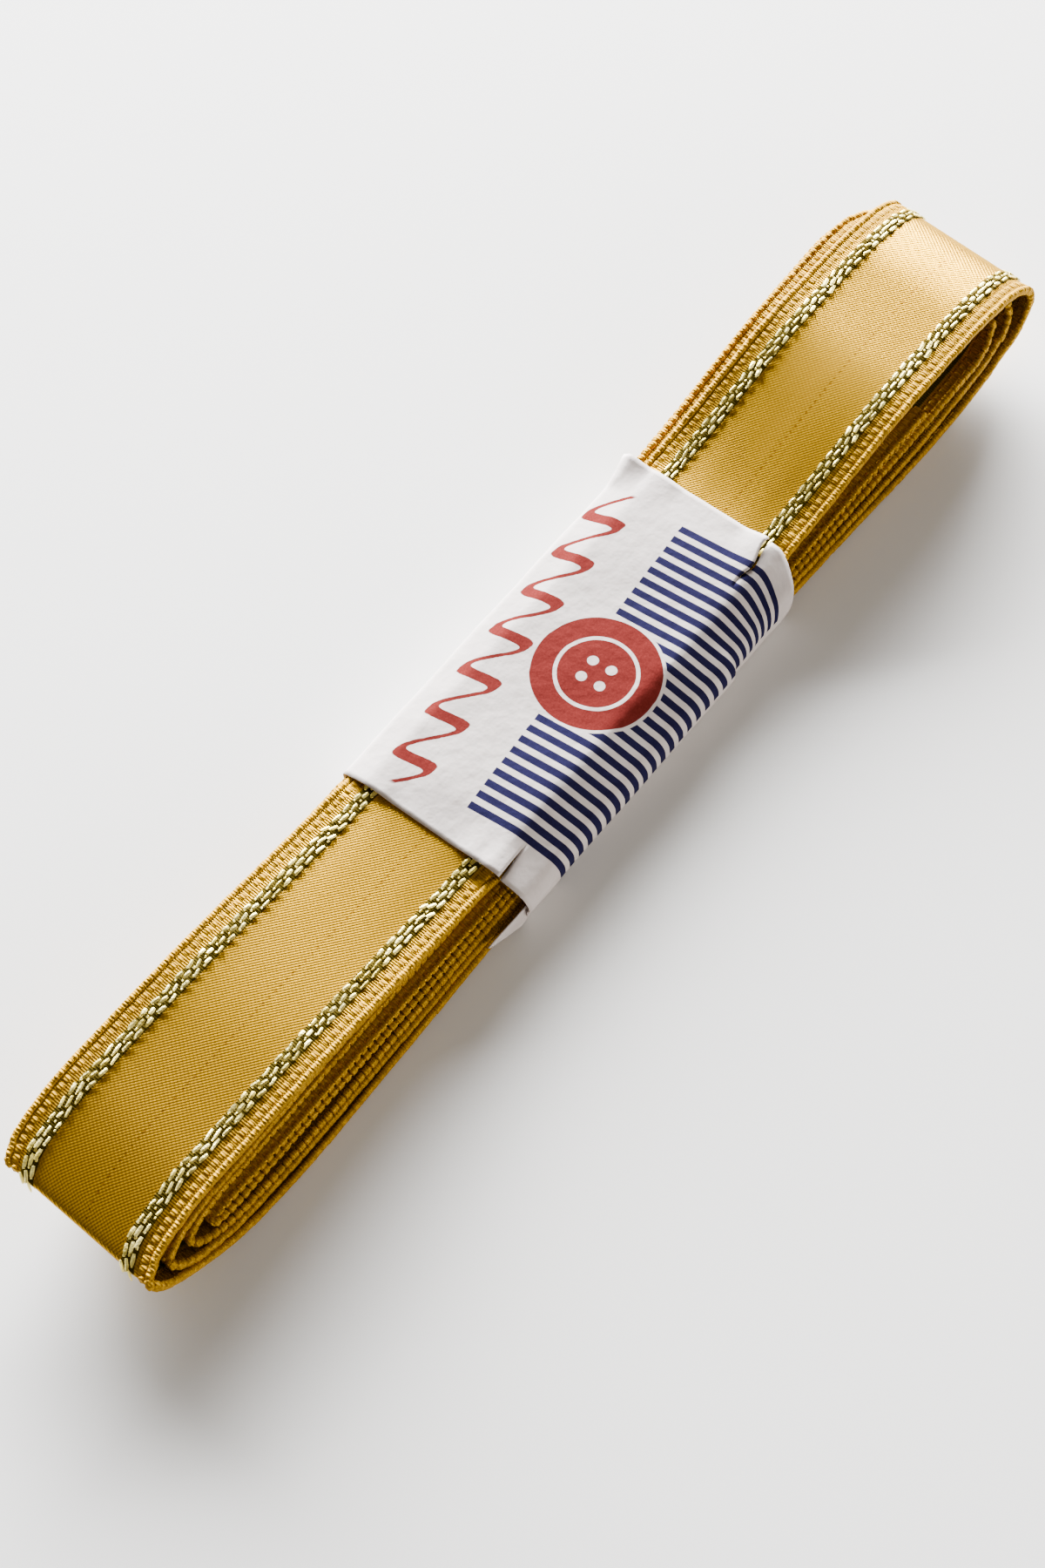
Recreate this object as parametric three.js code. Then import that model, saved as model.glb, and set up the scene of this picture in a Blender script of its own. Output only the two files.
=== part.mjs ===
// A flat-wound hank of satin ribbon with metallic yarns near both edges, held by a paper band.
// Millimetres. +X runs along the hank, +Y across the ribbon, +Z up. It lies on Z = 0.
import * as THREE from 'three';

// Ribbon
const ribbonWidth = 25;
const ribbonThickness = 0.4;
const yarnWidth = 0.62;
const yarnThickness = 0.34;
const yarnSpacing = 0.72;
const yarnsPerBraid = 3;
const braidInset = 3.9; // ribbon edge to the middle of a braid
const yarnClearance = 0.06; // ribbon face to yarn

// Hank
const hankLength = 191;
const turns = 4;
const layerGap = 0.17; // air between the layers where the paper band presses them flat
const leftHeight = 12;
const rightHeight = 14.2;
const leftShoulder = 40; // from the band's edge to the full height
const rightShoulder = 32;
const noseReach = 15; // length of the outer turn's end bend
const noseRise = { left: 7, right: 3.2 }; // the ends lift off the table
const noseRun = 28; // length over which they lift
const tipStep = { left: 3.6, right: 3.4 }; // each inner turn stops this much short
const outerTailAt = 12; // the ribbon's outer end, under the band
const innerTailGap = 15; // the ribbon's inner end, short of its turn's right tip
const tailBlend = 14; // the layers above settle over this length past the outer end
// How far each layer lies off the middle at either end, from the bottom layer to the top one
const driftLeft = [-5.2, -4.5, -3.8, -3.0, -2.2, -1.4, -0.6, 0];
const driftRight = [-3.5, -2.8, -2.1, -1.4, -0.7, 4.3, 3.0, 0];
const bandSqueeze = 0.15; // the band pulls the layers back by this share

// Paper band
const bandLength = 63; // along the hank
const bandMiddle = 4.5;
const bandSkew = -0.06; // its edges lean along X by this for each millimetre across
const paperThickness = 0.2;
const bandClearance = 0.3;
const glueThickness = 0.13;
const glueClearance = 0.06;
const glueMargin = 1.2; // paper left bare round the glue
const startUpWall = 0.25; // the inner ply starts this share of the way up the near wall
const lapUnder = 7; // the outer ply runs this far under the hank
const tabLength = 7; // the inner ply's cut corner sticks out past the outer ply
const tabRun = 9; // and narrows to nothing over this length round the hank

// Steps
const runStep = 10;
const bendSteps = 10;
const quarterSteps = 6;
const bandSteps = 6;

const layers = 2 * turns;
const halfWidth = ribbonWidth / 2;
const halfThickness = ribbonThickness / 2;
const yarnFace = halfThickness + yarnClearance + yarnThickness;
const layerPitch = halfThickness + yarnFace + layerGap;
const waistHeight = (layers - 1) * layerPitch + 2 * yarnFace;
const plyPitch = paperThickness + glueThickness + 2 * glueClearance;
const bandLift = bandClearance + plyPitch + paperThickness;
const bandLeft = bandMiddle - bandLength / 2;
const bandRight = bandMiddle + bandLength / 2;
const { lerp, smoothstep } = THREE.MathUtils;

function steps(count) {
  return Array.from({ length: count + 1 }, (_, i) => i / count);
}

// 1 under the band, 0 from a shoulder's length away
function underBand(x) {
  const rising = smoothstep(x, bandLeft - leftShoulder, bandLeft);
  const falling = 1 - smoothstep(x, bandRight, bandRight + rightShoulder);
  return rising * falling;
}

// 0 up to the ribbon's outer end, 1 where the layers above have settled past it
function pastTail(x) {
  return smoothstep(x, outerTailAt, outerTailAt + tailBlend);
}

// Height of the lowest layer's middle
function stackFloor(x) {
  const intoNose = Math.max(0, Math.abs(x) - (hankLength / 2 - noseRun)) / noseRun;
  const rise = x < 0 ? noseRise.left : noseRise.right;
  return yarnFace + bandLift * underBand(x) + rise * intoNose ** 2;
}

// Height of the highest layer's middle
function stackTop(x) {
  const besideBand = x < bandMiddle ? leftHeight : rightHeight;
  return lerp(besideBand, waistHeight + bandLift, underBand(x)) - yarnFace;
}

// A point on a layer's middle line, with level 0 at the bottom
function layerPoint(level, x) {
  const height = (level - pastTail(x)) / (layers - 1 - pastTail(x));
  const nearest = Math.round(level);
  const drift = lerp(driftLeft[nearest], driftRight[nearest], x / hankLength + 0.5);
  const y = drift * (1 - bandSqueeze * underBand(x));
  return new THREE.Vector3(x, y, lerp(stackFloor(x), stackTop(x), height));
}

// Every layer has its points at the same stations along the hank, so that they nest
function runPoints(level, from, to) {
  const direction = Math.sign(to - from);
  const points = [layerPoint(level, from)];
  const first = Math.ceil((from * direction) / runStep + 0.5);
  for (let i = first; i * runStep < to * direction - runStep / 2; i += 1) {
    points.push(layerPoint(level, i * runStep * direction));
  }
  return points;
}

// Half an ellipse between two layers
function bendPoints(fromLevel, toLevel, bend) {
  return steps(bendSteps).slice(0, bendSteps).map((share) => {
    const angle = Math.PI * share;
    const across = (1 - Math.cos(angle)) / 2;
    const x = bend.start + bend.reach * Math.sin(angle);
    const point = layerPoint(lerp(fromLevel, toLevel, across), x);
    return point.setY(lerp(layerPoint(fromLevel, x).y, layerPoint(toLevel, x).y, across));
  });
}

function bendOf(side, turn) {
  const sign = side === 'left' ? -1 : 1;
  const tip = hankLength / 2 - yarnFace - tipStep[side] * turn;
  const reach = noseReach * (1 - turn / turns);
  return { start: sign * (tip - reach), reach: sign * reach };
}

// The ribbon's middle line from its outer end, under the band, to its inner end
function ribbonPath() {
  const points = [];
  let from = outerTailAt;
  for (let turn = 0; turn < turns; turn += 1) {
    const low = turn;
    const high = layers - 1 - turn;
    const left = bendOf('left', turn);
    const right = bendOf('right', turn);
    points.push(...runPoints(low, from, left.start), ...bendPoints(low, high, left));
    if (turn < turns - 1) {
      points.push(...runPoints(high, left.start, right.start), ...bendPoints(high, low + 1, right));
      from = right.start;
    } else {
      const end = right.start + right.reach - innerTailGap;
      points.push(...runPoints(high, left.start, end), layerPoint(high, end));
    }
  }
  return points;
}

// A closed body between two grids of points, lower[i][j] and upper[i][j]
function slab(lower, upper) {
  const rows = lower.length;
  const columns = lower[0].length;
  const index = [];
  const low = (i, j) => i * columns + j;
  const high = (i, j) => (rows + i) * columns + j;
  const quad = (a, b, c, d) => index.push(a, b, c, a, c, d);
  for (let i = 0; i < rows - 1; i += 1) {
    for (let j = 0; j < columns - 1; j += 1) {
      quad(high(i, j), high(i + 1, j), high(i + 1, j + 1), high(i, j + 1));
      quad(low(i, j), low(i, j + 1), low(i + 1, j + 1), low(i + 1, j));
    }
    const edge = columns - 1;
    quad(low(i, 0), low(i + 1, 0), high(i + 1, 0), high(i, 0));
    quad(low(i, edge), high(i, edge), high(i + 1, edge), low(i + 1, edge));
  }
  for (let j = 0; j < columns - 1; j += 1) {
    const end = rows - 1;
    quad(low(0, j), high(0, j), high(0, j + 1), low(0, j + 1));
    quad(low(end, j), low(end, j + 1), high(end, j + 1), high(end, j));
  }
  const positions = [...lower.flat(), ...upper.flat()].flatMap((point) => point.toArray());
  const geometry = new THREE.BufferGeometry();
  geometry.setAttribute('position', new THREE.Float32BufferAttribute(positions, 3));
  geometry.setIndex(index);
  geometry.computeVertexNormals();
  return geometry;
}

// A strip along the ribbon's path, between two places across it and two heights off its middle
function stripGeometry(path, near, far, low, high) {
  const surface = (offset) => path.map((point, i) => {
    const before = path[Math.max(0, i - 1)];
    const after = path[Math.min(path.length - 1, i + 1)];
    const outward = new THREE.Vector3(before.z - after.z, 0, after.x - before.x).normalize();
    const middle = point.clone().addScaledVector(outward, offset);
    return [near, far].map((across) => middle.clone().setY(point.y + across));
  });
  return slab(surface(low), surface(high));
}

// The corners of all the layers at x, seen along X
function stackCorners(x) {
  const corners = [];
  for (let level = 0; level < layers; level += 1) {
    const { y, z } = layerPoint(Math.max(level, pastTail(x)), x);
    for (const side of [-halfWidth, halfWidth]) {
      corners.push(new THREE.Vector2(y + side, z - yarnFace), new THREE.Vector2(y + side, z + yarnFace));
    }
  }
  return corners;
}

function furthest(corners, direction) {
  return corners.reduce((best, corner) => (corner.dot(direction) > best.dot(direction) ? corner : best));
}

// The stack's near wall at x, from its foot to its head
function nearWall(x) {
  const corners = stackCorners(x);
  const almostDown = new THREE.Vector2(-0.01, -1);
  const almostUp = new THREE.Vector2(-0.01, 1);
  return { corners, foot: furthest(corners, almostDown), head: furthest(corners, almostUp) };
}

// The band's outline at x. The ply starts on the near wall, goes under the hank, over it and
// down again over its own start, and ends underneath.
function bandSection(x, offset) {
  const { corners, foot, head } = nearWall(x);
  const wall = new THREE.Vector2().subVectors(head, foot);
  const wallAngle = wall.angle() + Math.PI / 2;
  const down = (3 * Math.PI) / 2;
  const up = Math.PI / 2;
  const place = (corner, angle, ply) => {
    const out = bandClearance + ply * plyPitch + offset;
    return corner.clone().add(new THREE.Vector2(out * Math.cos(angle), out * Math.sin(angle)));
  };
  const sweep = (from, to, quarters, ply) => steps(quarters * quarterSteps).map((share) => {
    const angle = lerp(from, to, share);
    return place(furthest(corners, new THREE.Vector2(Math.cos(angle), Math.sin(angle))), angle, ply);
  });
  const turnOfFace = 0.002;
  return [
    place(foot.clone().addScaledVector(wall, startUpWall), wallAngle, 0),
    ...sweep(wallAngle + turnOfFace, down - turnOfFace, 1, 0),
    ...sweep(down + turnOfFace, down + Math.PI - turnOfFace, 4, 0),
    ...sweep(up + turnOfFace, wallAngle - turnOfFace, 1, 1),
    ...sweep(wallAngle + turnOfFace, down - turnOfFace, 1, 1),
    place(foot.clone().setX(foot.x + lapUnder), down, 1),
  ];
}

function onBand(point, share, margin = 0) {
  const x = lerp(bandLeft + margin, bandRight - margin, share) + bandSkew * point.x;
  return new THREE.Vector3(x, point.x, point.y);
}

function bandGeometry() {
  const grid = (offset) => {
    const shares = steps(bandSteps);
    const sections = shares.map((share) => bandSection(lerp(bandLeft, bandRight, share), offset));
    let travelled = 0;
    return sections[0].map((first, i) => {
      travelled += i > 0 ? first.distanceTo(sections[0][i - 1]) : 0;
      const tab = tabLength * (1 - smoothstep(travelled, 0, tabRun));
      return shares.map((share, j) => {
        const point = onBand(sections[j][i], share);
        return point.setX(point.x - tab * (1 - share));
      });
    });
  };
  return slab(grid(0), grid(paperThickness));
}

// The glue lies between the two plies, under the hank
function glueGeometry() {
  const row = (across, offset) => steps(bandSteps).map((share) => {
    const { foot } = nearWall(lerp(bandLeft, bandRight, share));
    const depth = bandClearance + paperThickness + glueClearance + offset;
    return onBand(new THREE.Vector2(foot.x + across, foot.y - depth), share, glueMargin);
  });
  const grid = (offset) => [row(glueMargin, offset), row(lapUnder - glueMargin, offset)];
  return slab(grid(0), grid(glueThickness));
}

function mesh(name, geometry, color, roughness, metalness) {
  const piece = new THREE.Mesh(geometry, new THREE.MeshStandardMaterial({ color, roughness, metalness }));
  piece.name = name;
  return piece;
}

const path = ribbonPath();
const satin = stripGeometry(path, -halfWidth, halfWidth, -halfThickness, halfThickness);
const hank = new THREE.Group();
hank.add(mesh('satin_ribbon', satin, 0xdd9f2c, 0.4, 0));
for (const [side, sign] of [['near', -1], ['far', 1]]) {
  for (let i = 0; i < yarnsPerBraid; i += 1) {
    const middle = sign * (halfWidth - braidInset) + (i - (yarnsPerBraid - 1) / 2) * yarnSpacing;
    const edges = [middle - yarnWidth / 2, middle + yarnWidth / 2];
    const yarn = stripGeometry(path, ...edges, halfThickness + yarnClearance, yarnFace);
    hank.add(mesh(`${side}_metallic_yarn_${i + 1}`, yarn, 0xcfc08a, 0.3, 0.8));
  }
}

const band = new THREE.Group();
band.add(mesh('paper_band', bandGeometry(), 0xe9e7e6, 0.9, 0));
band.add(mesh('glue_line', glueGeometry(), 0xe6dcc0, 0.5, 0));

const part = new THREE.Group();
part.add(hank, band);
const box = new THREE.Box3().setFromObject(part);
const middle = box.getCenter(new THREE.Vector3());
part.position.set(-middle.x, -middle.y, -box.min.z);

export default part;
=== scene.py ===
"""A flat-wound hank of golden satin ribbon with metallic braid lines, held by a printed paper band."""

import math

import bmesh
import bpy
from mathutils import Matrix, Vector, noise


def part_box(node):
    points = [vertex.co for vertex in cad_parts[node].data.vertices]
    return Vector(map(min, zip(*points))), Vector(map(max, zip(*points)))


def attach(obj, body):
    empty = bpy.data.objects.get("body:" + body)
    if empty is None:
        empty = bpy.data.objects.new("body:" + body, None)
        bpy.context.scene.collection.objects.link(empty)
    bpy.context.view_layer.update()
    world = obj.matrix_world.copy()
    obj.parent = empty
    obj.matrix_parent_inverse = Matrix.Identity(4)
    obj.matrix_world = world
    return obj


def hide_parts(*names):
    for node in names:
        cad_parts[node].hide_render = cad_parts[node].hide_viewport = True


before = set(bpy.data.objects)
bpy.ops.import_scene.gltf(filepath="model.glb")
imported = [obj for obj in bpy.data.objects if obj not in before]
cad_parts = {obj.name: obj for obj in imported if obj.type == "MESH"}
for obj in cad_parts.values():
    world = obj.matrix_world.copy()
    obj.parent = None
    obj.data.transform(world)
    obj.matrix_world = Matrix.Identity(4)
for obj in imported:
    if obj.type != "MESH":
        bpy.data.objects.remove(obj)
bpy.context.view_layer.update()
MM = 0.001

# Ribbon, in millimetres
ribbon_width = 25.0
cloth_thickness = 0.3
cloth_edge = 0.18  # the last of the cloth's width on either side is rounded off
braid_inset = 3.9  # ribbon edge to the middle of a braid
braid_half = 1.1
yarn_spacing = 0.72
yarns_per_braid = 3
yarn_face = 0.6  # middle of a layer to the top of its yarns
float_pitch = 2.15
float_size = (1.3, 0.52, 0.3)  # along, across and up
float_starts = (0.2, 0.66, 0.4)  # where each yarn's first float lies, as a share of the pitch
bit_size = (0.42, 0.32, 0.24)  # the short bits of yarn that show between the floats
bit_sunk = 0.12
rib_pitch = 1.3
rib_start = 0.3
ladder_rib = {"inset": 1.62, "size": (1.1, 1.15, 0.46)}
lip = {"inset": 0.5, "size": (0.98, 1.0, 1.36)}  # its blocks overlap, two for each rib of the ladder
lip_below = 0.28  # the lip hangs this far to the ribbon's inner side

# Hank
hank_length = 191.0
turns = 4
layer_half = 0.2  # middle of a layer to its underside
layer_gap = 0.17
left_height = 12.0
right_height = 14.2
left_shoulder = 40.0
right_shoulder = 32.0
nose_reach = 15.0
nose_rise = {"left": 7.0, "right": 3.2}
nose_run = 28.0
tip_step = {"left": 3.6, "right": 3.4}
outer_tail_at = 12.0
inner_tail_gap = 15.0
tail_blend = 14.0
drift_left = (-5.2, -4.5, -3.8, -3.0, -2.2, -1.4, -0.6, 0.0)
drift_right = (-3.5, -2.8, -2.1, -1.4, -0.7, 4.3, 3.0, 0.0)
band_squeeze = 0.15
side_wander = 0.45  # the layers wander this far sideways
height_wander = 0.16
wander_length = 31.0
top_wander = 0.35  # the share of the wander that the top layer keeps
edge_droop = {"reach": 4.6, "top": 1.8, "bottom": 0.55}  # the band rounds off the stack's edges
edge_puff = {"height": 0.22, "rise": 4.0, "hold": 6.0, "fade": 26.0}

# Paper band
band_length = 63.0
band_middle = 4.5
band_skew = -0.06
paper_thickness = 0.18
paper_room = 0.2  # the height that one ply of paper takes up under the hank
band_clearance = 0.3
ply_pitch = 0.45
lap_under = 7.0
tear_across = -11.15
tear_slant = 0.052
tab_length = 7.4  # the loose tab at the paper's start stands this far past the band's left edge
tab_run = 3.6
tab_flare = 1.0
corner_radius = {"top": 3.4, "bottom": 1.2, "side": 0.45, "belly": 3.0}
left_tear, right_tear = 6.6, 9.4  # how far each tear runs in from the band's edge
tear_width = 0.25
tear_lift = {"above": 0.8, "below": 0.35}
right_pull = 4.4  # the torn flap at the right has slipped this far back under the hank
pull_reach = 18.0
pull_fade = {"above": (8.0, 20.0), "below": (11.0, 20.0)}
slack = {"broad": 0.16, "fine": 0.04}
edge_dip = 0.36  # the paper's edges are drawn down onto the satin
ear = {"length": 5.5, "height": 1.7, "across": 14.0, "half": 3.2}  # the pinched fold at the far right corner

table_gap = 0.02

# Weave, in millimetres
weft_pitch = 0.36
warp_pitch = 0.62
warp_lean = 1.9
pick_pitch = 0.56
dotted_line = (-1.46, -1.16)  # across the ribbon
dot_pitch = 1.15
cross_strip = (2.42, 2.2)  # in from the ribbon's edge

# Steps
run_step = 1.2
bend_steps = 30
band_step = 0.7
rows_above_tear = 128
rows_below_tear = 32
fine_steps = 900

layers = 2 * turns
half_width = ribbon_width / 2
layer_pitch = layer_half + yarn_face + layer_gap
waist_height = (layers - 1) * layer_pitch + 2 * yarn_face
band_lift = band_clearance + ply_pitch + paper_room
band_left = band_middle - band_length / 2
band_right = band_middle + band_length / 2


def smoothstep(x, low, high):
    share = min(1.0, max(0.0, (x - low) / (high - low)))
    return share * share * (3 - 2 * share)


def lerp(a, b, share):
    return a + (b - a) * share


# ---------------------------------------------------------------- the ribbon's path


def under_band(x):
    rising = smoothstep(x, band_left - left_shoulder, band_left)
    return rising * (1 - smoothstep(x, band_right, band_right + right_shoulder))


def past_tail(x):
    return smoothstep(x, outer_tail_at, outer_tail_at + tail_blend)


def stack_floor(x):
    into_nose = max(0.0, abs(x) - (hank_length / 2 - nose_run)) / nose_run
    rise = nose_rise["left"] if x < 0 else nose_rise["right"]
    return yarn_face + band_lift * under_band(x) + rise * into_nose**2


def stack_top(x):
    beside_band = left_height if x < band_middle else right_height
    return lerp(beside_band, waist_height + band_lift, under_band(x)) - yarn_face


def layer_point(level, x):
    """A point on a layer's middle line, with level 0 at the bottom."""
    height = (level - past_tail(x)) / (layers - 1 - past_tail(x))
    nearest = round(level)
    drift = lerp(drift_left[nearest], drift_right[nearest], x / hank_length + 0.5)
    drift *= 1 - band_squeeze * under_band(x)
    return Vector((x, drift, lerp(stack_floor(x), stack_top(x), height)))


def run_points(level, start, end):
    count = round(abs(end - start) / run_step)
    return [(layer_point(level, lerp(start, end, i / count)), level) for i in range(count)]


def bend_points(low, high, bend):
    """Half an ellipse between two layers."""
    points = []
    for i in range(bend_steps):
        angle = math.pi * i / bend_steps
        across = (1 - math.cos(angle)) / 2
        x = bend["start"] + bend["reach"] * math.sin(angle)
        level = lerp(low, high, across)
        point = layer_point(level, x)
        point.y = lerp(layer_point(low, x).y, layer_point(high, x).y, across)
        points.append((point, level))
    return points


def bend_of(side, turn):
    sign = -1 if side == "left" else 1
    tip = hank_length / 2 - yarn_face - tip_step[side] * turn
    reach = nose_reach * (1 - turn / turns)
    return {"start": sign * (tip - reach), "reach": sign * reach}


def wander(point, level, travelled):
    """Small unevenness of hand-wound layers, none where the band presses them."""
    loose = 1 - under_band(point.x)
    if level > layers - 1.5:
        loose *= top_wander
    seat = Vector((travelled / wander_length, round(level) * 3.7, 0.0))
    aside = side_wander * noise.noise(seat)
    up = height_wander * noise.noise(seat + Vector((0.0, 50.0, 0.0)))
    return point + Vector((0.0, aside, max(up, -0.05))) * loose


def ribbon_rows():
    """Points from the ribbon's outer end, under the band, to its inner end: place, outward, level."""
    places = []
    start = outer_tail_at
    for turn in range(turns):
        low, high = turn, layers - 1 - turn
        left, right = bend_of("left", turn), bend_of("right", turn)
        places += run_points(low, start, left["start"]) + bend_points(low, high, left)
        if turn < turns - 1:
            places += run_points(high, left["start"], right["start"]) + bend_points(high, low + 1, right)
            start = right["start"]
        else:
            places += run_points(high, left["start"], right["start"] + right["reach"] - inner_tail_gap)
    travelled = 0.0
    points = []
    for i, (point, level) in enumerate(places):
        travelled += (point - places[i - 1][0]).length if i else 0.0
        points.append(wander(point, level, travelled))
    rows = []
    for i, point in enumerate(points):
        before, after = points[max(0, i - 1)], points[min(len(points) - 1, i + 1)]
        outward = Vector((before.z - after.z, 0.0, after.x - before.x)).normalized()
        rows.append({"point": point, "outward": outward, "level": places[i][1]})
    return rows


def droop(row, across):
    """How far a layer's edge is pressed down, or up in the lower layers, by the band's round corners."""
    into_edge = max(0.0, abs(across) - (half_width - edge_droop["reach"])) / edge_droop["reach"]
    above_middle = 2 * row["level"] / (layers - 1) - 1
    depth = edge_droop["top"] if above_middle > 0 else edge_droop["bottom"]
    x = row["point"].x
    inside = min(x - band_left, band_right - x)
    return depth * above_middle * into_edge**2 * smoothstep(inside, -3.5, 2.5)


def puff(row, across):
    """How far the top layer's middle swells up against the inside of the band's two edges."""
    x = row["point"].x
    inside = min(x - band_left, band_right - x)
    top_layer = row["level"] > layers - 1.5 and abs(x) < hank_length / 2 - nose_run
    rising = smoothstep(-inside, -edge_puff["rise"], 0.0)
    fading = 1 - smoothstep(-inside, edge_puff["hold"], edge_puff["fade"])
    swell = edge_puff["height"] * (rising * fading)
    return swell * (1 - smoothstep(abs(across), 5.0, 8.0)) if top_layer else 0.0


def on_cloth(row, across, offset=0.0):
    """A point of the ribbon, in metres."""
    point = row["point"] + row["outward"] * offset
    point += Vector((0.0, across, puff(row, across) - droop(row, across)))
    return (point + frame_shift) * MM


rows = ribbon_rows()
middle_of_nearest = min(layer_point(level, x).y for level in range(layers) for x in (-hank_length / 2, 0.0))
nearest_edge = middle_of_nearest - half_width
frame_shift = Vector((0.0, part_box("satin_ribbon")[0].y / MM - nearest_edge, 0.0))


# ---------------------------------------------------------------- mesh tools


def plain_object(name, mesh):
    item = bpy.data.objects.new(name, mesh)
    bpy.context.scene.collection.objects.link(item)
    return item


def remove_object(item):
    bpy.data.objects.remove(item, do_unlink=True)


def smooth_mesh(name, vertices, faces, uvs=None):
    """A smooth-shaded mesh. uvs holds one pair for each vertex."""
    mesh = bpy.data.meshes.new(name)
    mesh.from_pydata([tuple(v) for v in vertices], [], faces)
    if uvs:
        layer = mesh.uv_layers.new(name="cloth")
        for loop in mesh.loops:
            layer.data[loop.index].uv = uvs[loop.vertex_index]
    mesh.shade_smooth()
    mesh.update()
    return mesh


def tidy_faces(mesh, merge=0.0):
    shape = bmesh.new()
    shape.from_mesh(mesh)
    if merge:
        bmesh.ops.remove_doubles(shape, verts=shape.verts, dist=merge)
    bmesh.ops.recalc_face_normals(shape, faces=shape.faces)
    shape.to_mesh(mesh)
    shape.free()


def press_on_table(mesh):
    """Nothing reaches below the table's top."""
    for vertex in mesh.vertices:
        vertex.co.z = max(vertex.co.z, table_gap * MM)


def plain_copy(item):
    """The object's mesh with its modifiers worked in."""
    evaluated = item.evaluated_get(bpy.context.evaluated_depsgraph_get())
    mesh = bpy.data.meshes.new_from_object(evaluated)
    item.modifiers.clear()
    item.data = mesh
    mesh.name = item.name
    return item


# ---------------------------------------------------------------- node tools


class Nodes:
    """Short ways to write a material's nodes."""

    def __init__(self, name):
        self.material = bpy.data.materials.new(name)
        self.material.use_nodes = True
        self.tree = self.material.node_tree
        self.shader = self.tree.nodes["Principled BSDF"]

    def add(self, kind, *values, **settings):
        node = self.tree.nodes.new(kind)
        for key, value in settings.items():
            setattr(node, key, value)
        for i, value in enumerate(values):
            self.feed(node.inputs[i], value)
        return node

    def feed(self, socket, value):
        if isinstance(value, bpy.types.NodeSocket):
            self.tree.links.new(value, socket)
        elif value is not None:
            socket.default_value = value

    def do(self, operation, *values):
        return self.add("ShaderNodeMath", *values, operation=operation).outputs[0]

    def wave(self, value, length):
        """A sine of the value, with this wave length."""
        return self.do("SINE", self.do("MULTIPLY", value, 2 * math.pi / length))

    def distance(self, x, y):
        """A vector of x and y, and its length."""
        vector = self.add("ShaderNodeCombineXYZ", x, y, 0.0).outputs[0]
        return vector, self.add("ShaderNodeVectorMath", vector, operation="LENGTH").outputs["Value"]

    def ramp(self, value, low, high, start=0.0, end=1.0):
        node = self.add("ShaderNodeMapRange", value, low, high, start, end, interpolation_type="SMOOTHSTEP")
        return node.outputs[0]

    def between(self, value, low, high, soft):
        """1 between low and high, 0 outside, with a soft edge."""
        rising = self.ramp(value, low - soft / 2, low + soft / 2)
        falling = self.ramp(value, high - soft / 2, high + soft / 2, 1.0, 0.0)
        return self.do("MULTIPLY", rising, falling)

    def noise(self, place, scale, detail=2.0, roughness=0.5):
        node = self.add("ShaderNodeTexNoise")
        self.feed(node.inputs["Vector"], place)
        node.inputs["Scale"].default_value = scale
        node.inputs["Detail"].default_value = detail
        node.inputs["Roughness"].default_value = roughness
        return node.outputs["Fac"]

    def mix(self, share, a, b):
        node = self.add("ShaderNodeMix", data_type="RGBA")
        for socket, value in ((0, share), (6, a), (7, b)):
            self.feed(node.inputs[socket], colour(value))
        return node.outputs[2]

    def uv(self):
        """The piece's own coordinates in millimetres: along and across."""
        place = self.add("ShaderNodeUVMap", uv_map="cloth").outputs[0]
        parts = self.add("ShaderNodeSeparateXYZ", place)
        return place, parts.outputs[0], parts.outputs[1]

    def place(self):
        return self.add("ShaderNodeTexCoord").outputs["Object"]

    def bump(self, height, distance, below=None):
        node = self.add("ShaderNodeBump")
        node.inputs["Distance"].default_value = distance
        self.feed(node.inputs["Height"], height)
        self.feed(node.inputs["Normal"], below)
        return node.outputs["Normal"]

    def finish(self, **sockets):
        for name, value in sockets.items():
            self.feed(self.shader.inputs[name.replace("_", " ")], colour(value))
        return self.material


def colour(value):
    return (*value, 1.0) if isinstance(value, tuple) and len(value) == 3 else value


def tinted(base, factor, extra=0.0):
    return tuple(c * factor + extra for c in base)


# ---------------------------------------------------------------- finishes

gold = (0.445, 0.238, 0.004)
# deep_gold is the colour of the darker thread marks, and also the painted shade in the satin weave's dips
# and the selvedge weave's hollows
deep_gold = (0.19, 0.08, 0.002)
gold_shine = (1.0, 0.74, 0.03)
olive = (0.034, 0.029, 0.006)
navy = (0.0085, 0.0072, 0.036)
red = (0.115, 0.0105, 0.0085)
paper_white = (0.60, 0.545, 0.525)


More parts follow.
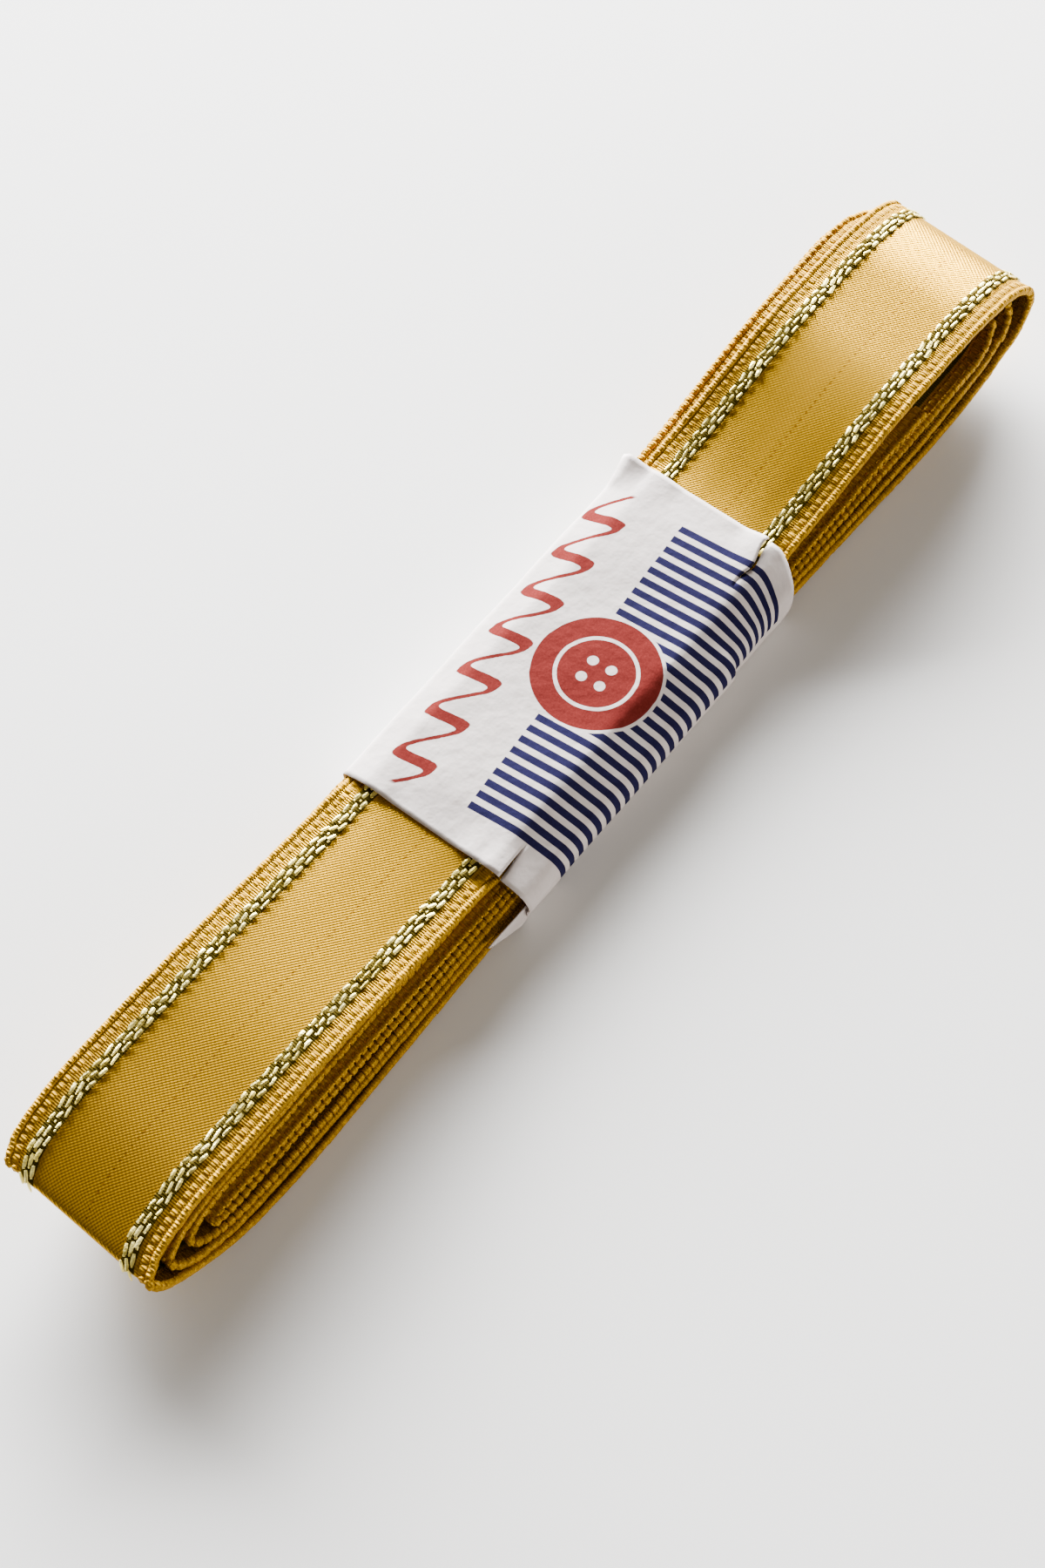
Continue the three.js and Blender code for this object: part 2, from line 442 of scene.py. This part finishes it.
def satin_finish():
    n = Nodes("satin")
    place, along, across = n.uv()
    from_middle = n.do("ABSOLUTE", across)
    braid_at = half_width - braid_inset
    in_braid = n.between(from_middle, braid_at - braid_half, braid_at + braid_half, 0.25)
    in_satin = n.ramp(from_middle, braid_at - braid_half - 0.1, braid_at - braid_half + 0.1, 1.0, 0.0)
    lean = n.do("MULTIPLY", across, 2 * math.pi / warp_lean)
    warp = n.do("SINE", n.do("ADD", n.do("MULTIPLY", along, 2 * math.pi / warp_pitch), lean))
    diaper = n.do("MULTIPLY", warp, n.wave(across, pick_pitch))
    plain = n.do("MULTIPLY", n.wave(along, weft_pitch), n.do("SUBTRACT", 1.0, in_satin))
    weave = n.do("ADD", n.do("MULTIPLY", diaper, in_satin), plain)
    drawn_out = n.add("ShaderNodeMapping", place, (0, 0, 0), (0, 0, 0), (0.03, 3.0, 1.0)).outputs[0]
    streaks = n.noise(drawn_out, 1.0, 3.0)
    tone = n.mix(n.ramp(streaks, 0.3, 0.7), gold, tinted(gold, 0.9))
    # Painted shade: where the weave's bump dips, the satin is darkened towards deep_gold
    tone = n.mix(n.do("MULTIPLY", n.ramp(weave, -0.4, 0.3, 1.0, 0.0), 0.36), tone, deep_gold)
    # One warp thread shows as a dotted line, and cross threads mark the strip beside the ladder of ribs
    uneven = n.do("ADD", along, n.do("MULTIPLY", n.noise(place, 0.7), 1.6))
    dots = n.do("FRACT", n.do("DIVIDE", uneven, dot_pitch))
    mark = n.do("MULTIPLY", n.between(across, *dotted_line, 0.12), n.between(dots, 0.15, 0.5, 0.15))
    rib_at = n.do("FRACT", n.do("DIVIDE", along, rib_pitch))
    beside_ladder = n.between(from_middle, *(half_width - inset for inset in cross_strip), 0.12)
    dash = n.do("MULTIPLY", beside_ladder, n.between(rib_at, 0.15, 0.8, 0.15))
    tone = n.mix(n.do("MULTIPLY", n.do("MAXIMUM", mark, dash), 0.85), tone, deep_gold)
    tone = n.mix(n.do("MULTIPLY", in_braid, 0.95), tone, olive)
    height = n.do("ADD", weave, n.do("MULTIPLY", n.noise(place, 2.5), 0.6))
    return n.finish(
        Base_Color=tone,
        Metallic=0.75,
        Roughness=n.ramp(in_braid, 0.0, 1.0, 0.33, 0.8),
        Normal=n.bump(height, 0.022 * MM),
        Tangent=n.add("ShaderNodeTangent", direction_type="UV_MAP", uv_map="cloth").outputs[0],
        Anisotropic=0.6,
        Anisotropic_Rotation=0.25,
        Specular_IOR_Level=0.5,
        Specular_Tint=gold_shine,
    )


def rib_finish():
    n = Nodes("selvedge")
    place = n.place()
    parts = n.add("ShaderNodeSeparateXYZ", place)
    thread = n.wave(parts.outputs[0], 0.43 * MM)
    pick = n.wave(parts.outputs[2], 0.5 * MM)
    shade = n.noise(place, 900.0, 3.0)
    tone = n.mix(n.ramp(shade, 0.3, 0.7), tinted(gold, 0.82), tinted(gold, 1.12))
    # Painted shade: the weave's hollows between threads and picks are darkened towards deep_gold
    painted_hollow_shade = n.ramp(n.do("MULTIPLY", thread, pick), -0.6, 0.1, 1.0, 0.0)
    tone = n.mix(n.do("MULTIPLY", painted_hollow_shade, 0.5), tone, deep_gold)
    height = n.do("ADD", n.do("ADD", thread, pick), shade)
    return n.finish(
        Base_Color=tone,
        Metallic=0.4,
        Roughness=0.6,
        Normal=n.bump(height, 0.035 * MM),
        Specular_IOR_Level=0.4,
        Specular_Tint=gold_shine,
    )


def yarn_finish():
    n = Nodes("metallic yarn")
    place = n.place()
    glint = n.noise(place, 1400.0)
    tarnish = n.noise(place, 300.0)
    tone = n.mix(n.ramp(tarnish, 0.35, 0.65), (0.60, 0.48, 0.09), (0.96, 0.84, 0.27))
    strands = n.noise(place, 3800.0, 1.0)
    return n.finish(
        Base_Color=tone,
        Metallic=0.8,
        Roughness=n.ramp(glint, 0.3, 0.7, 0.3, 0.55),
        Normal=n.bump(strands, 0.08 * MM),
    )


def paper_finish():
    n = Nodes("printed paper")
    place, along, across = n.uv()
    turned = 0.088
    a = n.do("ADD", along, n.do("MULTIPLY", across, turned))
    b = n.do("SUBTRACT", across, n.do("MULTIPLY", along, turned))
    # Navy stripes across the hank, from one line down over the near side
    stripe_pitch = 1.985
    first, last, top, foot = -21.9, 30.9, -1.15, -21.5
    phase = n.do("FRACT", n.do("DIVIDE", n.do("SUBTRACT", a, first - 0.02), stripe_pitch))
    stripe = n.between(phase, 0.03, 0.58, 0.05)
    field = n.do("MULTIPLY", n.between(a, first, last, 0.05), n.between(b, foot, top, 0.1))
    blue = n.do("MULTIPLY", stripe, field)
    # A red disc with the holes and rim of a sewing button, and a white line round it
    disc_radius = 8.9
    hole_out, hole_radius = 1.45, 0.77
    disc, radius = n.distance(n.do("SUBTRACT", a, 4.45), n.do("SUBTRACT", b, -4.2))
    blue = n.do("MULTIPLY", blue, n.ramp(radius, disc_radius + 0.42, disc_radius + 0.52))
    spot = n.ramp(radius, disc_radius - 0.05, disc_radius + 0.05, 1.0, 0.0)
    rim = n.between(radius, 5.3, 5.85, 0.1)
    x, y = (n.do("ABSOLUTE", part) for part in n.add("ShaderNodeSeparateXYZ", disc).outputs[:2])
    from_hole = n.distance(n.do("SUBTRACT", x, hole_out), n.do("SUBTRACT", y, hole_out))[1]
    hole = n.ramp(from_hole, hole_radius - 0.05, hole_radius + 0.05, 1.0, 0.0)
    spot = n.do("MULTIPLY", spot, n.do("SUBTRACT", 1.0, n.do("MAXIMUM", rim, hole)))
    # A red waving line with a broad and a fine side to each wave
    wave_pitch, wave_lean, wave_height, wave_across = 7.6, 0.42, 2.5, 8.6
    wave_at = n.do("ADD", n.do("MULTIPLY", a, 2 * math.pi / wave_pitch), n.do("MULTIPLY", b, wave_lean))
    swing = n.do("MULTIPLY", n.do("SINE", wave_at), wave_height)
    slope = n.do("COSINE", wave_at)
    off_line = n.do("ABSOLUTE", n.do("SUBTRACT", n.do("SUBTRACT", b, wave_across), swing))
    steepness = n.do("ADD", 1.0, n.do("MULTIPLY", n.do("POWER", slope, 2.0), 4.2))
    off_line = n.do("DIVIDE", off_line, n.do("SQRT", steepness))
    rough_edge = n.do("MULTIPLY", n.noise(place, 1.1, 3.0), 0.22)
    pen = n.do("ADD", n.ramp(slope, -1.0, 1.0, 0.24, 0.72), rough_edge)
    line = n.ramp(n.do("SUBTRACT", off_line, pen), -0.05, 0.05, 1.0, 0.0)
    line = n.do("MULTIPLY", line, n.between(a, -24.0, 31.5, 0.6))
    ink = n.do("MAXIMUM", spot, line)
    # Printed solids are a little uneven, and the paper a little cloudy
    speck = n.noise(place, 3.5, 3.0, roughness=0.7)
    red_tone = n.mix(n.ramp(speck, 0.35, 0.75), red, tinted(red, 1.3, 0.004))
    blue_tone = n.mix(n.ramp(speck, 0.35, 0.75), navy, tinted(navy, 1.35, 0.001))
    cloud = n.noise(place, 0.25, 3.0, roughness=0.6)
    tone = n.mix(n.ramp(cloud, 0.35, 0.65), paper_white, tinted(paper_white, 0.955))
    tone = n.mix(blue, tone, blue_tone)
    tone = n.mix(ink, tone, red_tone)
    fibre = n.noise(place, 6.0, 4.0, roughness=0.65)
    crumple = n.bump(n.noise(place, 0.55), 0.1 * MM)
    return n.finish(
        Base_Color=tone,
        Roughness=0.9,
        Normal=n.bump(fibre, 0.012 * MM, below=crumple),
        Specular_IOR_Level=0.06,
    )


def glue_finish():
    n = Nodes("dried glue")
    place = n.place()
    streak = n.noise(place, 700.0, 3.0)
    tone = n.mix(streak, (0.45, 0.38, 0.20), (0.55, 0.50, 0.36))
    return n.finish(Base_Color=tone, Roughness=0.35, Normal=n.bump(streak, 0.1 * MM))


def floor_finish():
    n = Nodes("table")
    place = n.place()
    cloud = n.noise(place, 4.0)
    tone = n.mix(cloud, (0.87, 0.87, 0.865), (0.89, 0.89, 0.89))
    return n.finish(Base_Color=tone, Roughness=0.7, Specular_IOR_Level=0.2)


# ---------------------------------------------------------------- camera, floor and light


def set_camera():
    """A near look down on the hank, turned so that it lies aslant."""
    facing = math.radians(50.19)
    tilt = math.radians(66)
    distance = 331
    forward = Vector((math.sin(facing) * math.cos(tilt), math.cos(facing) * math.cos(tilt), -math.sin(tilt)))
    aim = Vector((-10.9, -3.16, 0.0)) * MM
    camera = bpy.data.cameras.new("camera")
    camera.sensor_fit = "VERTICAL"
    camera.sensor_height = 36
    camera.lens = 55.2
    camera.clip_start = 0.01
    item = plain_object("camera", camera)
    item.location = aim - forward * distance * MM
    item.rotation_euler = forward.to_track_quat("-Z", "Y").to_euler()
    bpy.context.scene.camera = item


def area_light(name, place, size, power, tint):
    light = bpy.data.lights.new(name, "AREA")
    light.shape = "RECTANGLE"
    light.size, light.size_y = size
    light.energy = power
    light.color = tint
    item = plain_object(name, light)
    item.location = place
    item.rotation_euler = Vector(place).to_track_quat("Z", "Y").to_euler()


def set_stage():
    reach = 7
    corners = [(x * reach, y * reach, 0.0) for x, y in ((-1, -1), (1, -1), (1, 1), (-1, 1))]
    floor = plain_object("floor", smooth_mesh("floor", corners, [(0, 1, 2, 3)]))
    floor.data.materials.append(floor_finish())
    area_light("window", place=(0.78, 0.90, 0.29), size=(1.44, 0.5), power=300.0, tint=(1.0, 1.0, 1.0))
    area_light("low card", place=(0.1, -1.35, 0.42), size=(1.4, 0.5), power=15.0, tint=(1.0, 0.92, 0.84))
    world = bpy.data.worlds.new("room")
    world.use_nodes = True
    background = world.node_tree.nodes["Background"]
    background.inputs["Color"].default_value = (1.0, 0.87, 0.70, 1.0)
    background.inputs["Strength"].default_value = 0.17
    bpy.context.scene.world = world


# ---------------------------------------------------------------- the ribbon's cloth


def make_cloth(material):
    """The woven strip: a closed flat tube with its two faces and rounded edges."""
    insets = (cloth_edge, 0.5, 1.3, 2.2, 3.2, 4.9, 7.0, 9.5, 11.5)
    across = [inset - half_width for inset in insets]
    across += [-a for a in reversed(across)]
    half = cloth_thickness / 2
    last = len(across) - 1
    section = [(a, half * (0.35 if i in (0, last) else 1.0)) for i, a in enumerate(across)]
    section += [(a, -offset) for a, offset in reversed(section)]
    vertices, uvs, faces = [], [], []
    travelled = 0.0
    for i, row in enumerate(rows):
        travelled += (row["point"] - rows[i - 1]["point"]).length if i else 0.0
        vertices += [on_cloth(row, a, offset) for a, offset in section]
        uvs += [(travelled, a) for a, _ in section]
    count = len(section)
    for i in range(len(rows) - 1):
        for j in range(count):
            k = (j + 1) % count
            faces.append((i * count + j, i * count + k, (i + 1) * count + k, (i + 1) * count + j))
    last_row = (len(rows) - 1) * count
    faces.append(tuple(range(count)))
    faces.append(tuple(last_row + j for j in reversed(range(count))))
    mesh = smooth_mesh("satin_ribbon_cloth", vertices, faces, uvs)
    tidy_faces(mesh)
    mesh.materials.append(material)
    return plain_object("satin_ribbon_cloth", mesh)


def pillow(name, size, sides=8, stations=4):
    """A small bead, its length along X: chamfered with four stations, rounded with more."""

    def squared(value):
        return math.copysign(abs(value) ** 0.7, value)

    length, width, height = size
    vertices, faces = [], []
    for i in range(stations):
        share = i / (stations - 1)
        at_end = i in (0, stations - 1)
        if stations > 4:
            x = (share - 0.5) * length
            swell = 0.35 + 0.65 * math.sin(math.pi * (0.08 + 0.84 * share)) ** 0.7
        else:
            x = math.copysign((0.5 if at_end else 0.36) * length, share - 0.5)
            swell = 0.55 if at_end else 1.0
        for j in range(sides):
            angle = 2 * math.pi * (j + 0.5) / sides
            y = squared(math.cos(angle)) * width / 2
            z = squared(math.sin(angle)) * height / 2
            vertices.append(Vector((x, y * lerp(1, swell, 0.6), z * swell)) * MM)
    for i in range(stations - 1):
        for j in range(sides):
            k = (j + 1) % sides
            faces.append((i * sides + j, i * sides + k, (i + 1) * sides + k, (i + 1) * sides + j))
    faces.append(tuple(range(sides)))
    faces.append(tuple((stations - 1) * sides + j for j in reversed(range(sides))))
    mesh = smooth_mesh(name, vertices, faces)
    tidy_faces(mesh)
    return plain_object(name, mesh)


def guide_line(name, across, offset, start):
    """A line along the ribbon, beginning start millimetres from its outer end."""
    points = [on_cloth(row, across, offset) for row in rows]
    skipped = 0.0
    while skipped < start:
        step = (points[1] - points[0]).length / MM
        if skipped + step > start:
            points[0] = points[0].lerp(points[1], (start - skipped) / step)
            break
        skipped += step
        points.pop(0)
    mesh = bpy.data.meshes.new(name)
    mesh.from_pydata([tuple(p) for p in points], [(i, i + 1) for i in range(len(points) - 1)], [])
    return plain_object(name, mesh)


def beads_tree():
    """Geometry nodes that set a shape along a line, turned to follow it, each a little different."""
    tree = bpy.data.node_groups.new("beads along a line", "GeometryNodeTree")
    sockets = {}
    for label, kind in (
        ("Line", "NodeSocketGeometry"),
        ("Spacing", "NodeSocketFloat"),
        ("Shape", "NodeSocketObject"),
        ("Size change", "NodeSocketFloat"),
        ("Tilt", "NodeSocketFloat"),
        ("Shift", "NodeSocketFloat"),
        ("Finish", "NodeSocketMaterial"),
    ):
        sockets[label] = tree.interface.new_socket(label, in_out="INPUT", socket_type=kind).identifier
    tree.interface.new_socket("Beads", in_out="OUTPUT", socket_type="NodeSocketGeometry")

    def add(kind, **settings):
        node = tree.nodes.new(kind)
        for key, value in settings.items():
            setattr(node, key, value)
        return node

    def join(source, target):
        tree.links.new(source, target)

    given = add("NodeGroupInput").outputs
    curve = add("GeometryNodeMeshToCurve")
    join(given["Line"], curve.inputs[0])
    spaced = add("GeometryNodeResampleCurve", mode="LENGTH")
    join(curve.outputs[0], spaced.inputs["Curve"])
    join(given["Spacing"], spaced.inputs["Length"])
    turn = add("FunctionNodeAxesToRotation", primary_axis="X", secondary_axis="Y")
    join(add("GeometryNodeInputTangent").outputs[0], turn.inputs[0])
    turn.inputs[1].default_value = (0.0, 1.0, 0.0)

    def spread(seed, width):
        """A random number for each bead, from -width to width."""
        value = add("FunctionNodeRandomValue", data_type="FLOAT")
        value.inputs["Seed"].default_value = seed
        numbers = [s for s in value.inputs if s.type == "VALUE" and s.enabled]
        numbers[0].default_value, numbers[1].default_value = -1.0, 1.0
        scaled = add("ShaderNodeMath", operation="MULTIPLY")
        join([s for s in value.outputs if s.enabled][0], scaled.inputs[0])
        join(width, scaled.inputs[1])
        return scaled.outputs[0]

    def triple(*parts):
        vector = add("ShaderNodeCombineXYZ")
        for socket, part in zip(vector.inputs, parts):
            if isinstance(part, bpy.types.NodeSocket):
                join(part, socket)
            else:
                socket.default_value = part
        return vector.outputs[0]

    def one_plus(value):
        total = add("ShaderNodeMath", operation="ADD")
        join(value, total.inputs[0])
        total.inputs[1].default_value = 1.0
        return total.outputs[0]

    moved = add("GeometryNodeSetPosition")
    join(spaced.outputs[0], moved.inputs["Geometry"])
    join(triple(spread(3, given["Shift"]), spread(4, given["Shift"]), 0.0), moved.inputs["Offset"])
    shape = add("GeometryNodeObjectInfo")
    join(given["Shape"], shape.inputs[0])
    placed = add("GeometryNodeInstanceOnPoints")
    join(moved.outputs[0], placed.inputs["Points"])
    join(shape.outputs["Geometry"], placed.inputs["Instance"])
    join(turn.outputs[0], placed.inputs["Rotation"])
    sizes = [one_plus(spread(seed, given["Size change"])) for seed in (5, 6, 7)]
    join(triple(*sizes), placed.inputs["Scale"])
    tilted = add("GeometryNodeRotateInstances")
    join(placed.outputs[0], tilted.inputs["Instances"])
    join(triple(0.0, spread(8, given["Tilt"]), spread(9, given["Tilt"])), tilted.inputs["Rotation"])
    real = add("GeometryNodeRealizeInstances")
    join(tilted.outputs[0], real.inputs[0])
    finish = add("GeometryNodeSetMaterial")
    join(real.outputs[0], finish.inputs[0])
    join(given["Finish"], finish.inputs["Material"])
    join(finish.outputs[0], add("NodeGroupOutput").inputs[0])
    return tree, sockets


def string_beads(name, lines, shapes, spacing, finish, size_change, tilt, shift):
    """Beads along one or more lines, joined into one plain mesh."""
    meshes = []
    for line, shape in zip(lines, shapes):
        modifier = line.modifiers.new("beads", "NODES")
        modifier.node_group = bead_tree
        for label, value in (
            ("Spacing", spacing * MM),
            ("Shape", shape),
            ("Size change", size_change),
            ("Tilt", tilt),
            ("Shift", shift * MM),
            ("Finish", finish),
        ):
            modifier[bead_sockets[label]] = value
        meshes.append(plain_copy(line).data)
    shape = bmesh.new()
    for mesh in meshes:
        shape.from_mesh(mesh)
    mesh = bpy.data.meshes.new(name)
    shape.to_mesh(mesh)
    shape.free()
    mesh.materials.clear()
    mesh.materials.append(finish)
    mesh.shade_smooth()
    press_on_table(mesh)
    for item in lines:
        remove_object(item)
    return plain_object(name, mesh)


def make_selvedge(side, sign, finish):
    """A ladder of woven ribs, and a lip of two staggered rows of blocks, along one edge of the ribbon."""
    lines, shapes = [], []
    for rib, offset, start in (
        (ladder_rib, 0.0, rib_start),
        (lip, -lip_below, rib_start),
        (lip, -lip_below, rib_start + rib_pitch / 2),
    ):
        lines.append(guide_line("line", sign * (half_width - rib["inset"]), offset, start))
        shapes.append(pillow("block", rib["size"]))
    piece = string_beads(f"{side}_selvedge_ribs", lines, shapes, rib_pitch, finish, 0.06, 0.05, 0.03)
    for item in shapes:
        remove_object(item)
    return piece


def make_yarn(side, sign, number, finish):
    """The floats of one metallic yarn, on the ribbon's outer face."""
    across = sign * (half_width - braid_inset) + (number - (yarns_per_braid - 1) / 2) * yarn_spacing
    start = float_pitch * float_starts[number]
    height = yarn_face - float_size[2] / 2
    lines = [
        guide_line("line", across, height, start),
        guide_line("line", across, height - bit_sunk, start + float_pitch / 2),
    ]
    shapes = [pillow("float", float_size, sides=6, stations=5), pillow("bit", bit_size, sides=5)]
    name = f"{side}_metallic_yarn_{number + 1}_floats"
    piece = string_beads(name, lines, shapes, float_pitch, finish, 0.24, 0.26, 0.08)
    piece.data.shade_flat()
    for item in shapes:
        remove_object(item)
    return piece


# ---------------------------------------------------------------- the paper band


def band_circles(x):
    """The rounded corners that the paper is drawn round at x: centre and radius, seen along X."""
    circles = []
    belly_radius = corner_radius["belly"]
    for level in range(layers):
        point = layer_point(max(level, past_tail(x)), x)
        if level == layers - 1:
            radius, rise = corner_radius["top"], yarn_face - corner_radius["top"]
        elif level == 0:
            radius, rise = corner_radius["bottom"], corner_radius["bottom"] - yarn_face
            belly = Vector((point.y - half_width + belly_radius, band_lift + belly_radius))
        else:
            radius, rise = corner_radius["side"], 0.0
        for sign in (-1, 1):
            circles.append((Vector((point.y + sign * (half_width - radius), point.z + rise)), radius))
    circles.append((belly, belly_radius))
    return circles


def band_section(x):
    """The band's line at x: points across and up, from its start on the near wall to its end underneath."""
    circles = band_circles(x)
    wall_foot, past_foot = math.radians(178), math.radians(205)
    down, far_up = 3 * math.pi / 2, 5 * math.pi / 2
    step = math.radians(3)

    def drawn_round(angle, ply):
        direction = Vector((math.cos(angle), math.sin(angle)))
        centre, radius = max(circles, key=lambda circle: circle[0].dot(direction) + circle[1])
        return centre + direction * (radius + band_clearance + ply * ply_pitch)

    points = [drawn_round(wall_foot, 0.0)]
    angle, end_angle = past_foot, down + 2 * math.pi
    while angle < end_angle:
        points.append(drawn_round(angle, smoothstep(angle, far_up + 0.02, far_up + 0.9)))
        angle += step
    points.append(drawn_round(end_angle, 1.0) + Vector((lap_under, 0.0)))
    return points


def line_length(points):
    return sum((b - a).length for a, b in zip(points, points[1:]))


def resampled(points, stations):
    """Points at the given distances along a line of points."""
    result, i, travelled = [], 0, 0.0
    step = (points[1] - points[0]).length
    for station in stations:
        while station > travelled + step and i < len(points) - 2:
            travelled += step
            i += 1
            step = (points[i + 1] - points[i]).length
        share = (station - travelled) / step if step else 0.0
        result.append(points[i].lerp(points[i + 1], min(1.0, max(0.0, share))))
    return result


def tear_line(x):
    """Where the two tears run, as a distance across from the hank's middle."""
    wiggle = 0.3 * math.sin(x * 0.95) * smoothstep(x, band_middle, band_right)
    return tear_across + wiggle + tear_slant * (x - band_middle)


def torn(x):
    """0 where the paper is whole, rising to 1 at either edge of the band."""
    left = smoothstep(band_left + left_tear - x, 0.0, left_tear)
    right = smoothstep(x - (band_right - right_tear), 0.0, right_tear)
    return max(left, right)


def paper_lift(x, w, above_tear, station):
    """How far the paper stands off its line.

    It has slack waves, edges drawn down onto the satin, lifted tear edges, a pinched ear and the flared tab.
    w is how far across the point lies from the hank's middle, and station how far it lies from the
    paper's start.
    """
    waves = slack["broad"] * noise.noise(Vector((x / 11.0, w / 8.0, 0.3)))
    waves += slack["fine"] * noise.noise(Vector((x / 3.5, w / 3.5, 5.0)))
    lift = max(waves, -0.1)
    at_edge = 1 - smoothstep(min(x - band_left, band_right - x), 0.0, 7.0)
    lift -= edge_dip * at_edge * (1 - smoothstep(abs(w), 4.5, 8.0))
    if above_tear:
        lift += tear_lift["above"] * torn(x) * (1 - smoothstep(w, tear_line(x), tear_line(x) + 4.0))
        below_start = smoothstep(station, 0.0, 3.2) * (1 - smoothstep(station, 4.5, 9.0))
        lift += tab_flare * (1 - smoothstep(x, band_left, band_left + 6.3)) * below_start
    elif w > -20:
        lift += tear_lift["below"] * torn(x) * smoothstep(-w, 12.0, 15.5)
    along_ear = min(1.0, max(0.0, (x - band_right + ear["length"]) / ear["length"]))
    over_ear = max(0.0, 1 - abs(w - ear["across"]) / ear["half"])
    return lift + ear["height"] * along_ear * over_ear


def make_band(material):
    """The paper in two grids of points that meet at the tears' line, then thickened."""
    columns = round(band_length / band_step)
    vertices, uvs, faces = [], [], []
    for above_tear, count in ((True, rows_above_tear), (False, rows_below_tear)):
        base = len(vertices)
        for j in range(columns + 1):
            x = lerp(band_left, band_right, j / columns)
            line = band_section(x)
            total = line_length(line)
            fine = resampled(line, [total * k / fine_steps for k in range(fine_steps + 1)])
            middle = max(k for k, p in enumerate(fine) if p.y > waist_height / 2 and p.x >= 0.0)
            crossing = total * middle / fine_steps
            tear_at = crossing - tear_line(x)
            start, end = (0.0, tear_at) if above_tear else (tear_at, total)
            for i in range(count + 1):
                station = lerp(start, end, i / count)
                k = min(fine_steps - 1, max(1, round(station / total * fine_steps)))
                place = resampled(line, [station])[0]
                run = (fine[k + 1] - fine[k - 1]).normalized()
                out = Vector((run.y, -run.x))
                w = crossing - station
                place += out * paper_lift(x, w, above_tear, station)
                if above_tear:
                    place -= run * tear_width * torn(x) * smoothstep(station, tear_at - 1.5, tear_at)
                    tab = tab_length * (1 - smoothstep(station, 0.0, tab_run))
                else:
                    place += run * tear_width * torn(x) * (1 - smoothstep(station, tear_at, tear_at + 1.5))
                    tab = 0.0
                slip = right_pull * smoothstep(x, band_right - pull_reach, band_right)
                if above_tear:
                    slip *= 1 - smoothstep(station, *pull_fade["above"])
                else:
                    slip *= smoothstep(-w, *pull_fade["below"])
                along = x - tab * (1 - j / columns) - slip + band_skew * place.x
                uvs.append((x, w))
                vertices.append((Vector((along, place.x, place.y)) + frame_shift) * MM)
        for j in range(columns):
            for i in range(count):
                a = base + j * (count + 1) + i
                faces.append((a, a + 1, a + count + 2, a + count + 1))
    mesh = smooth_mesh("paper_band_sheet", vertices, faces, uvs)
    tidy_faces(mesh, merge=0.02 * MM)
    mesh.materials.append(material)
    item = plain_object("paper_band_sheet", mesh)
    wall = item.modifiers.new("thickness", "SOLIDIFY")
    wall.thickness = paper_thickness * MM
    wall.offset = 1.0
    item = plain_copy(item)
    press_on_table(item.data)
    return item


# ---------------------------------------------------------------- the whole object

set_camera()
set_stage()
bead_tree, bead_sockets = beads_tree()

satin = satin_finish()
cloth = make_cloth(satin)
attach(cloth, "hank")
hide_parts("satin_ribbon")

selvedge = rib_finish()
metallic = yarn_finish()
for side, sign in (("near", -1), ("far", 1)):
    ribs = make_selvedge(side, sign, selvedge)
    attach(ribs, "hank")
    for number in range(yarns_per_braid):
        yarn = make_yarn(side, sign, number, metallic)
        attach(yarn, "hank")
        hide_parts(f"{side}_metallic_yarn_{number + 1}")

band = make_band(paper_finish())
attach(band, "band")
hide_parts("paper_band")

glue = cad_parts["glue_line"]
glue.data.materials.clear()
glue.data.materials.append(glue_finish())
